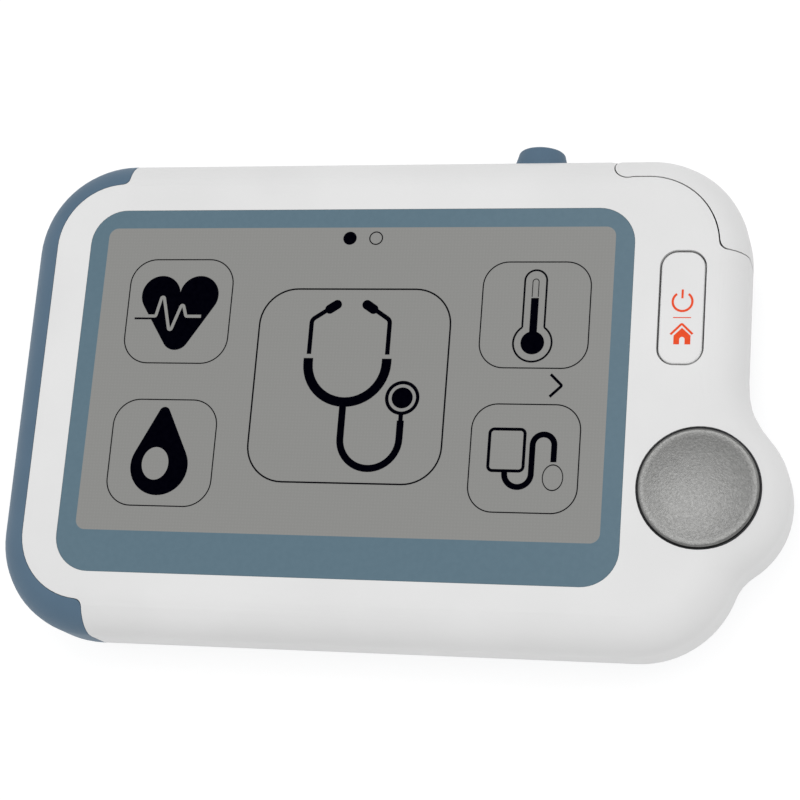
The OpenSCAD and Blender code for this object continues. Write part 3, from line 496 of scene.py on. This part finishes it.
def box_path(centre, w, d, r):
    """Start and pen moves round a box with rounded corners."""
    cx, cy, x, y = centre[0], centre[1], w / 2 - r, d / 2 - r
    return (cx - x, cy - y - r), [
        ("by", 2 * x, 0), ("round", cx + x, cy - y, 90),
        ("by", 0, 2 * y), ("round", cx + x, cy + y, 90),
        ("by", -2 * x, 0), ("round", cx - x, cy + y, 90),
        ("by", 0, -2 * y), ("round", cx - x, cy - y, 90)]


def ribbon(work, points, width, radius=None):
    """A band of even width through points, whose corners have that radius or are sharp inside."""
    radius = radius or width / 2
    points = [Vector(point) for point in points]
    moves, cut = [], 0
    for here, corner, after in zip(points, points[1:], points[2:] + [None]):
        ahead = (corner - here).normalized()
        swing = -ahead.angle_signed(after - corner) if after else 0
        used, cut = cut, radius * math.tan(abs(swing) / 2)
        straight = ahead * ((corner - here).length - used - cut)
        moves.append(("by", straight.x, straight.y))
        if swing:
            across = Vector((-ahead.y, ahead.x)) * math.copysign(radius, swing)
            pivot = corner - ahead * cut + across
            moves.append(("round", pivot.x, pivot.y, math.degrees(swing)))
    draw(work, points[0], moves, width)


def spot(work, x, y, r):
    """A filled round spot."""
    made = bmesh.ops.create_circle(work, cap_ends=True, radius=r, segments=48)
    bmesh.ops.translate(work, vec=(x, y, 0), verts=made["verts"])


def join_ends(work):
    """Joins the pen's ends where they meet."""
    bmesh.ops.remove_doubles(work, verts=work.verts, dist=PEN_GAP)


def fill_line(work):
    """Fills the closed lines of the drawing, and leaves out what a line inside another encloses."""
    join_ends(work)
    bmesh.ops.triangle_fill(work, use_beauty=True, use_dissolve=False, edges=list(work.edges))


def raise_flat(work, low, high):
    """Gives flat faces their thickness, from height low to height high."""
    join_ends(work)
    for face in work.faces:
        face.normal_update()
    bmesh.ops.reverse_faces(work, faces=[face for face in work.faces if face.normal.z > 0])
    up = bmesh.ops.extrude_face_region(work, geom=list(work.faces), use_keep_orig=True)["geom"]
    upper = [part for part in up if isinstance(part, bmesh.types.BMVert)]
    bmesh.ops.translate(work, vec=(0, 0, high - low), verts=upper)
    bmesh.ops.recalc_face_normals(work, faces=work.faces)
    bmesh.ops.translate(work, vec=(0, 0, low), verts=work.verts)


def solid_plate(centre, w, d, r, low, high, soft=0.0, steps=3):
    """A plate with rounded corners whose upper edge is softened by soft mm."""
    work = bmesh.new()
    draw(work, *box_path(centre, w, d, r))
    join_ends(work)
    bmesh.ops.contextual_create(work, geom=list(work.edges))
    raise_flat(work, low, high)
    if soft:
        top = max(work.faces, key=lambda face: face.calc_center_median().z)
        bmesh.ops.bevel(work, geom=list(top.edges), offset=soft, segments=steps, profile=0.5,
                        affect="EDGES", material=-1)
    return work


def top_face(work):
    """The large flat face on top."""
    flat = [face for face in work.faces if face.normal.z > 0.99]
    high = max(face.calc_center_median().z for face in flat)
    return max((face for face in flat if face.calc_center_median().z > high - 0.001),
               key=lambda face: face.calc_area())


def spun(profile, centre=(0, 0, 0), closed=False, steps=96):
    """Turns a profile of (radius, height) points about Z. An open one has both ends on the axis."""
    work = bmesh.new()
    verts = [work.verts.new((r, 0, z)) for r, z in profile]
    edges = [work.edges.new(pair) for pair in zip(verts, verts[1:] + (verts[:1] if closed else []))]
    bmesh.ops.spin(work, geom=verts + edges, cent=(0, 0, 0), axis=(0, 0, 1), angle=math.tau,
                   steps=steps, use_merge=True)
    bmesh.ops.remove_doubles(work, verts=work.verts, dist=SEAM_GAP)
    bmesh.ops.recalc_face_normals(work, faces=work.faces)
    bmesh.ops.translate(work, vec=centre, verts=work.verts)
    return work


def arc(r, z, radius, start, end, steps=6):
    """Profile points on an arc about (r, z)."""
    turns = [math.radians(start + (end - start) * i / steps) for i in range(steps + 1)]
    return [(r + radius * math.cos(turn), z + radius * math.sin(turn)) for turn in turns]


# ------------------------------------------------------------------ scene, shared finishes

place_camera()
make_studio()

WHITE = white_abs()
BLUE = blue_abs()
STEEL = blasted_steel()
BLACK_CELLS = display_black()
GREY_CELLS = display_grey()
ORANGE = orange_ink()
SILICONE = black_silicone()


# ------------------------------------------------------------------ shells and clip

for node, name, material, body, slot in (
        ("front_housing", "front_shell", WHITE, "case", "white_shell"),
        ("rear_housing", "rear_shell", BLUE, "case", "blue_shell"),
        ("clip_arm", "finger_clip_arm", WHITE, "clip", "white_shell")):
    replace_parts(finished(name, copy_of(node), material, body, even=True), node)


# ------------------------------------------------------------------ display

def cover_lens():
    """Cover with a softly broken upper edge, whose face has a printed border round the picture."""
    work = solid_plate(LENS_C, LENS[0], LENS[1], LENS_R, FACE - LENS_T, FACE, LENS_SOFT)
    face = top_face(work)
    border = list(face.edges)
    bmesh.ops.delete(work, geom=[face], context="FACES_ONLY")
    before = set(work.edges)
    draw(work, *box_path(PICTURE_C, PICTURE[0], PICTURE[1], PICTURE_R))
    corners = list({vert for edge in work.edges if edge not in before for vert in edge.verts})
    bmesh.ops.translate(work, vec=(0, 0, FACE), verts=corners)
    bmesh.ops.remove_doubles(work, verts=corners, dist=SEAM_GAP)
    window = [edge for edge in work.edges if not edge.link_faces]
    bmesh.ops.triangle_fill(work, use_beauty=True, edges=border + window)
    pane = bmesh.ops.contextual_create(work, geom=window)["faces"]
    bmesh.ops.recalc_face_normals(work, faces=work.faces)
    for face in pane:
        face.material_index = 1
    return finished("cover_lens", work, [printed_border(), GREY_CELLS], "case",
                    even=True)


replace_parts(cover_lens(), "touch_lens")


def shown(name, work, material=BLACK_CELLS, high=CELLS_HIGH):
    """A drawing as thin plates on the display."""
    raise_flat(work, CELLS_LOW, high)
    return finished(name, work, material, "case")


def frames():
    """Thin rounded frames round the five signs."""
    for name, centre, w, d, r, line in (
            ("frame_heart", (-24.9, 8.88), 12.25, 12.25, 3.0, 0.12),
            ("frame_drop", (-25.1, -7.58), 12.15, 12.15, 3.0, 0.12),
            ("frame_thermometer", (16.09, 8.66), 12.0, 12.1, 2.8, 0.12),
            ("frame_cuff", (15.86, -7.43), 11.9, 11.95, 2.8, 0.12),
            ("frame_check", (-4.23, 0.46), 21.9, 22.15, 4.2, 0.17)):
        work = bmesh.new()
        draw(work, *box_path(centre, w, d, r), line)
        join_ends(work)
        shown(name, work)


def mirrored_fill(work, centre):
    """Fills the shape whose right half has been drawn, and puts it in its place."""
    bmesh.ops.mirror(work, geom=work.verts[:] + work.edges[:], matrix=Matrix.Identity(4),
                     merge_dist=0.01, axis="X")
    join_ends(work)
    fill_line(work)
    bmesh.ops.translate(work, vec=(centre[0], centre[1], 0), verts=work.verts)


def made_oval(work, tall, x, y):
    """Stretches what is drawn round the origin to an oval, and puts it in its place."""
    bmesh.ops.scale(work, vec=(1, tall, 1), verts=work.verts)
    bmesh.ops.translate(work, vec=(x, y, 0), verts=work.verts)


def heart():
    """Two lobes, straight flanks and a rounded point, with the pulse line left out of it."""
    lobe, lobe_r, tip, tip_r = Vector((2.27, 1.95)), 2.3, Vector((0, -2.9)), 1.6
    apart = lobe - tip
    flank = math.atan2(apart.y, apart.x) - math.acos((tip_r - lobe_r) / apart.length)
    out = Vector((math.cos(flank), math.sin(flank)))
    notch = math.pi - math.acos(lobe.x / lobe_r)
    begin = lobe + lobe_r * Vector((math.cos(notch), math.sin(notch)))
    run = (tip + tip_r * out) - (lobe + lobe_r * out)
    work = bmesh.new()
    draw(work, begin, [("round", lobe.x, lobe.y, math.degrees(flank - notch)),
                       ("by", run.x, run.y), ("round", 0, tip.y, -90 - math.degrees(flank))])
    mirrored_fill(work, (-24.93, 8.8))
    shown("heart", work)
    work = bmesh.new()
    ribbon(work, [(-28.93, 8.27), (-27.58, 8.27), (-26.95, 11.13), (-25.75, 6.23), (-24.51, 9.95),
                  (-23.98, 8.27), (-22.18, 8.27)], 0.36)
    shown("pulse_line", work, GREY_CELLS, OVER_HIGH)
    work = bmesh.new()
    ribbon(work, [(-30.08, 7.99), (-27.98, 7.99)], 0.2)
    shown("pulse_lead", work, BLACK_CELLS, TOP_HIGH)


def drop():
    """A drop with a plain oval highlight in its belly."""
    r, belly, tip_r, tip = 3.35, -9.1, 0.62, -2.97
    lean = math.asin((r - tip_r) / (tip - belly))
    out = Vector((math.cos(lean), math.sin(lean)))
    run = Vector((0, belly)) + r * out - Vector((0, tip)) - tip_r * out
    work = bmesh.new()
    draw(work, (0, tip + tip_r), [("round", 0, tip, math.degrees(lean) - 90), ("by", run.x, run.y),
                                  ("round", 0, belly, -90 - math.degrees(lean))])
    mirrored_fill(work, (-25.25, 0))
    shown("drop", work)
    work = bmesh.new()
    spot(work, 0, 0, 1.55)
    made_oval(work, 1.2, -25.73, -8.85)
    shown("drop_highlight", work, GREY_CELLS, OVER_HIGH)


def stethoscope():
    """Ear tips, spring tubes, yoke, looped hose and chest piece."""
    cx, chest = -4.65, (1.92, -0.93)
    work = bmesh.new()
    for s in (-1, 1):
        ribbon(work, [(cx + s * 4.48, 3.98), (cx + s * 4.48, 7.95), (cx + s * 2.6, 9.2)], 0.5, 0.7)
    draw(work, (cx - 4.48, 3.5), [("by", 0, -0.52), ("round", cx, 2.98, 180), ("by", 0, 0.52)],
         1.08)
    draw(work, (-4.73, -2.0), [("by", 0, -3.6), ("round", -1.405, -5.6, 180), ("by", 0, 2.1)],
         0.78)
    ribbon(work, [(1.92, -3.5), (1.92, -2.84)], 0.5)
    draw(work, (chest[0] + 1.74, chest[1]), [("round", *chest, 360)], 0.38)
    spot(work, *chest, 1.18)
    shown("stethoscope", work)
    work = bmesh.new()
    for s in (-1, 1):
        lean = Vector((-0.83 * s, 0.55)).normalized()
        out, end = Vector((lean.y, -lean.x)) * 0.54, Vector((cx + s * 1.72, 9.72))
        start, back = end - lean * 0.95 + out, lean * 0.95
        draw(work, start, [("by", *back), ("round", *end, 180), ("by", *-back),
                           ("round", *(end - back), 180)])
    fill_line(work)
    shown("ear_tips", work, high=JOINED_HIGH)


def thermometer():
    """Glass outline, bulb and column."""
    cx, bulb, bulb_r, half, top = 15.96, 5.46, 2.13, 1.22, 12.54
    foot = bulb + math.sqrt(bulb_r ** 2 - half ** 2)
    swing = 360 - 2 * math.degrees(math.asin(half / bulb_r))
    work = bmesh.new()
    draw(work, (cx + half, foot),
         [("by", 0, top - foot), ("round", cx, top, 180), ("by", 0, foot - top)], 0.2)
    draw(work, (cx + 0.34, 10.71), [("by", 0, 1.7), ("round", cx, 12.41, 180), ("by", 0, -1.7)],
         0.08)
    spot(work, cx, bulb, 1.3)
    shown("thermometer", work)
    work = bmesh.new()
    draw(work, (cx - half, foot), [("round", cx, bulb, swing)], 0.2)
    ribbon(work, [(cx, bulb), (cx, 10.56)], 0.84)
    shown("thermometer_bulb", work, high=JOINED_HIGH)


def cuff():
    """Arm cuff, its hose and the outline of its squeeze bulb."""
    work = bmesh.new()
    draw(work, *box_path((13.89, -6.55), 3.85, 4.6, 0.5), 0.33)
    draw(work, (13.81, -9.02), [("by", 0, -0.13), ("round", 15.26, -9.15, 180), ("by", 0, 3.2),
                                ("round", 17.89, -5.95, -180), ("by", 0, -1.85)], 0.64)
    shown("cuff", work)
    work = bmesh.new()
    draw(work, (1.1, 0), [("round", 0, 0, 360)], 0.09)
    made_oval(work, 1.27, 19.08, -9.5)
    shown("squeeze_bulb", work, high=JOINED_HIGH)


def page_marks():
    """The arrow at the right and the two dots that stand for pages."""
    work = bmesh.new()
    ribbon(work, [(18.22, 1.93), (19.5, 0.68), (18.22, -0.57)], 0.3)
    spot(work, -5.57, 17.53, 0.77)
    draw(work, (-1.81, 17.53), [("round", -2.54, 17.53, 360)], 0.12)
    shown("page_marks", work)


frames()
heart()
drop()
stethoscope()
thermometer()
cuff()
page_marks()


# ------------------------------------------------------------------ home button

def home_button():
    """Cap with a rounded edge over its flange and stem."""
    w, d = BUTTON
    work = solid_plate(BUTTON_C, w, d, BUTTON_R, CAP_LOW, BUTTON_TOP, BUTTON_SOFT, 4)
    stem = [(0, STEM_LOW), (STEM_R, STEM_LOW), (STEM_R, STEM_HIGH), (0, STEM_HIGH)]
    for part in (solid_plate(BUTTON_C, w + 2 * FLANGE, d + 2 * FLANGE, BUTTON_R + FLANGE,
                             FLANGE_LOW, FLANGE_HIGH),
                 spun(stem, (*BUTTON_C, 0), steps=32)):
        spare = bpy.data.meshes.new("spare")
        part.to_mesh(spare)
        part.free()
        work.from_mesh(spare)
        bpy.data.meshes.remove(spare)
    return finished("button_cap", work, WHITE, "home_button", even=True)


def button_signs():
    """Power sign, dividing line and a house, printed on the cap."""
    work = bmesh.new()
    cx, cy, r, open_by = 32.07, 10.25, 1.06, 36
    turn = math.radians(open_by)
    start = (cx + r * math.sin(turn), cy + r * math.cos(turn))
    draw(work, start, [("round", cx, cy, 2 * open_by - 360)], 0.25)
    ribbon(work, [(32.04, 10.62), (32.04, 11.62)], 0.23)
    ribbon(work, [(31.12, 8.45), (33.05, 8.45)], 0.1)
    ribbon(work, [(30.92, 6.55), (32.1, 7.76), (33.3, 6.6)], 0.24)
    house = bmesh.new()
    draw(house, (31.27, 5.45), [("by", 0, 0.98), ("by", 0.87, 0.87), ("by", 0.95, -0.87),
                                ("by", 0, -0.98), ("by", -0.62, 0), ("by", 0, 0.55),
                                ("round", 32.18, 6.0, 180), ("by", 0, -0.55), ("by", -0.62, 0)])
    fill_line(house)
    for name, sign in (("power_sign", work), ("house_sign", house)):
        raise_flat(sign, PRINT_LOW, PRINT_HIGH)
        finished(name, sign, ORANGE, "home_button")


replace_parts(home_button(), "home_button")
button_signs()


# ------------------------------------------------------------------ electrodes

def thumb_disc():
    """Turned disc: shallow dish, narrow flat rim, rounded edge, stem underneath."""
    reach = DISC_R - DISC_RIM
    sphere = reach ** 2 / (2 * DISH) + DISH / 2
    lean = math.degrees(math.asin(reach / sphere))
    profile = arc(0, DISC_TOP - DISH + sphere, sphere, -90, -90 + lean, 16)
    profile += [(DISC_R - 0.25, DISC_TOP)]
    profile += arc(DISC_R - DISC_EDGE, DISC_TOP - DISC_EDGE, DISC_EDGE, 75, 0, 4)
    profile += [(DISC_R, DISC_UNDER), (DISC_STEM_R, DISC_UNDER), (DISC_STEM_R, DISC_STEM_LOW),
                (0, DISC_STEM_LOW)]
    return finished("thumb_disc", spun(profile, (*DISC_C, 0), steps=144), STEEL, "case",
                    even=True)


def insulating_ring():
    """Rubber cup round the disc, its lip just below the face."""
    outer, inner = 0.06, 0.08
    profile = [(RING_HOLE, RING_UNDER), (RING_OUT, RING_UNDER)]
    profile += arc(RING_OUT - outer, RING_TOP - outer, outer, 0, 90, 3)
    profile += arc(RING_IN + inner, RING_TOP - inner, inner, 90, 180, 3)
    profile += [(RING_IN, DISC_UNDER), (RING_HOLE, DISC_UNDER)]
    return finished("disc_ring", spun(profile, (*DISC_C, 0), closed=True), SILICONE, "case")


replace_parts(thumb_disc(), "thumb_electrode")
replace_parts(insulating_ring(), "electrode_ring")
for node, name in (("left_electrode", "finger_plate_left"),
                   ("rear_electrode", "finger_plate_rear")):
    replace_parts(finished(name, copy_of(node), STEEL, "case", even=True), node)


# ------------------------------------------------------------------ thermometer nozzle

def nozzle():
    """Stub with a rounded lip and a flared opening for the infrared sensor. The profile's heights
    are the stub's y, from the flange inside the case to the lip."""
    inside, flange, neck, waist, lip = 25.25, 26.05, 27.9, 28.0, 29.9
    profile = [(2.25, inside), (3.7, inside), (3.7, flange), (3.1, flange), (3.1, waist)]
    profile += arc(2.2, lip - 0.5, 0.5, 0, 90, 6) + arc(2.25, lip - 0.15, 0.15, 90, 180, 4)
    profile += [(1.62, 28.2), (1.6, neck), (2.25, neck)]
    work = spun(profile, closed=True)
    bmesh.ops.rotate(work, verts=work.verts, cent=(0, 0, 0),
                     matrix=Matrix.Rotation(-math.pi / 2, 3, "X"))
    bmesh.ops.translate(work, vec=(NOZZLE_X, 0, NOZZLE_Z), verts=work.verts)
    return finished("thermometer_stub", work, BLUE, "case", even=True)


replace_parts(nozzle(), "thermometer_nozzle")


# ------------------------------------------------------------------ finishes of the CAD nodes

EPOXY, ACETAL, ZINC = moulded_epoxy(), black_polymer(), sheet_steel()
FILTER, DRAWN = dark_filter(), drawn_steel()

NODE_FINISHES = {
    "lcd_module": display_glass(), "display_frame": ZINC, "display_flex": copper_film(),
    "main_board": board_green(), "board_parts": EPOXY, "battery_pack": cell_foil(),
    "battery_pad": foam(), "battery_leads": lead_sleeve(), "switch_plunger": ACETAL,
    "home_switch": EPOXY, "electrode_springs": spring_bronze(), "speaker": ACETAL,
    "data_port": nickel_shell(), "ir_sensor": ZINC, "ir_window": FILTER,
    "clip_pad": SILICONE, "clip_emitter": red_filter(), "finger_pad": SILICONE,
    "clip_detector": FILTER, "hinge_pin": DRAWN, "clip_spring": DRAWN,
    "case_screws": screw_steel(),
}
for node, material in NODE_FINISHES.items():
    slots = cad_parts[node].material_slots
    if not slots:
        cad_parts[node].data.materials.append(material)
    for place in slots:
        place.material = material
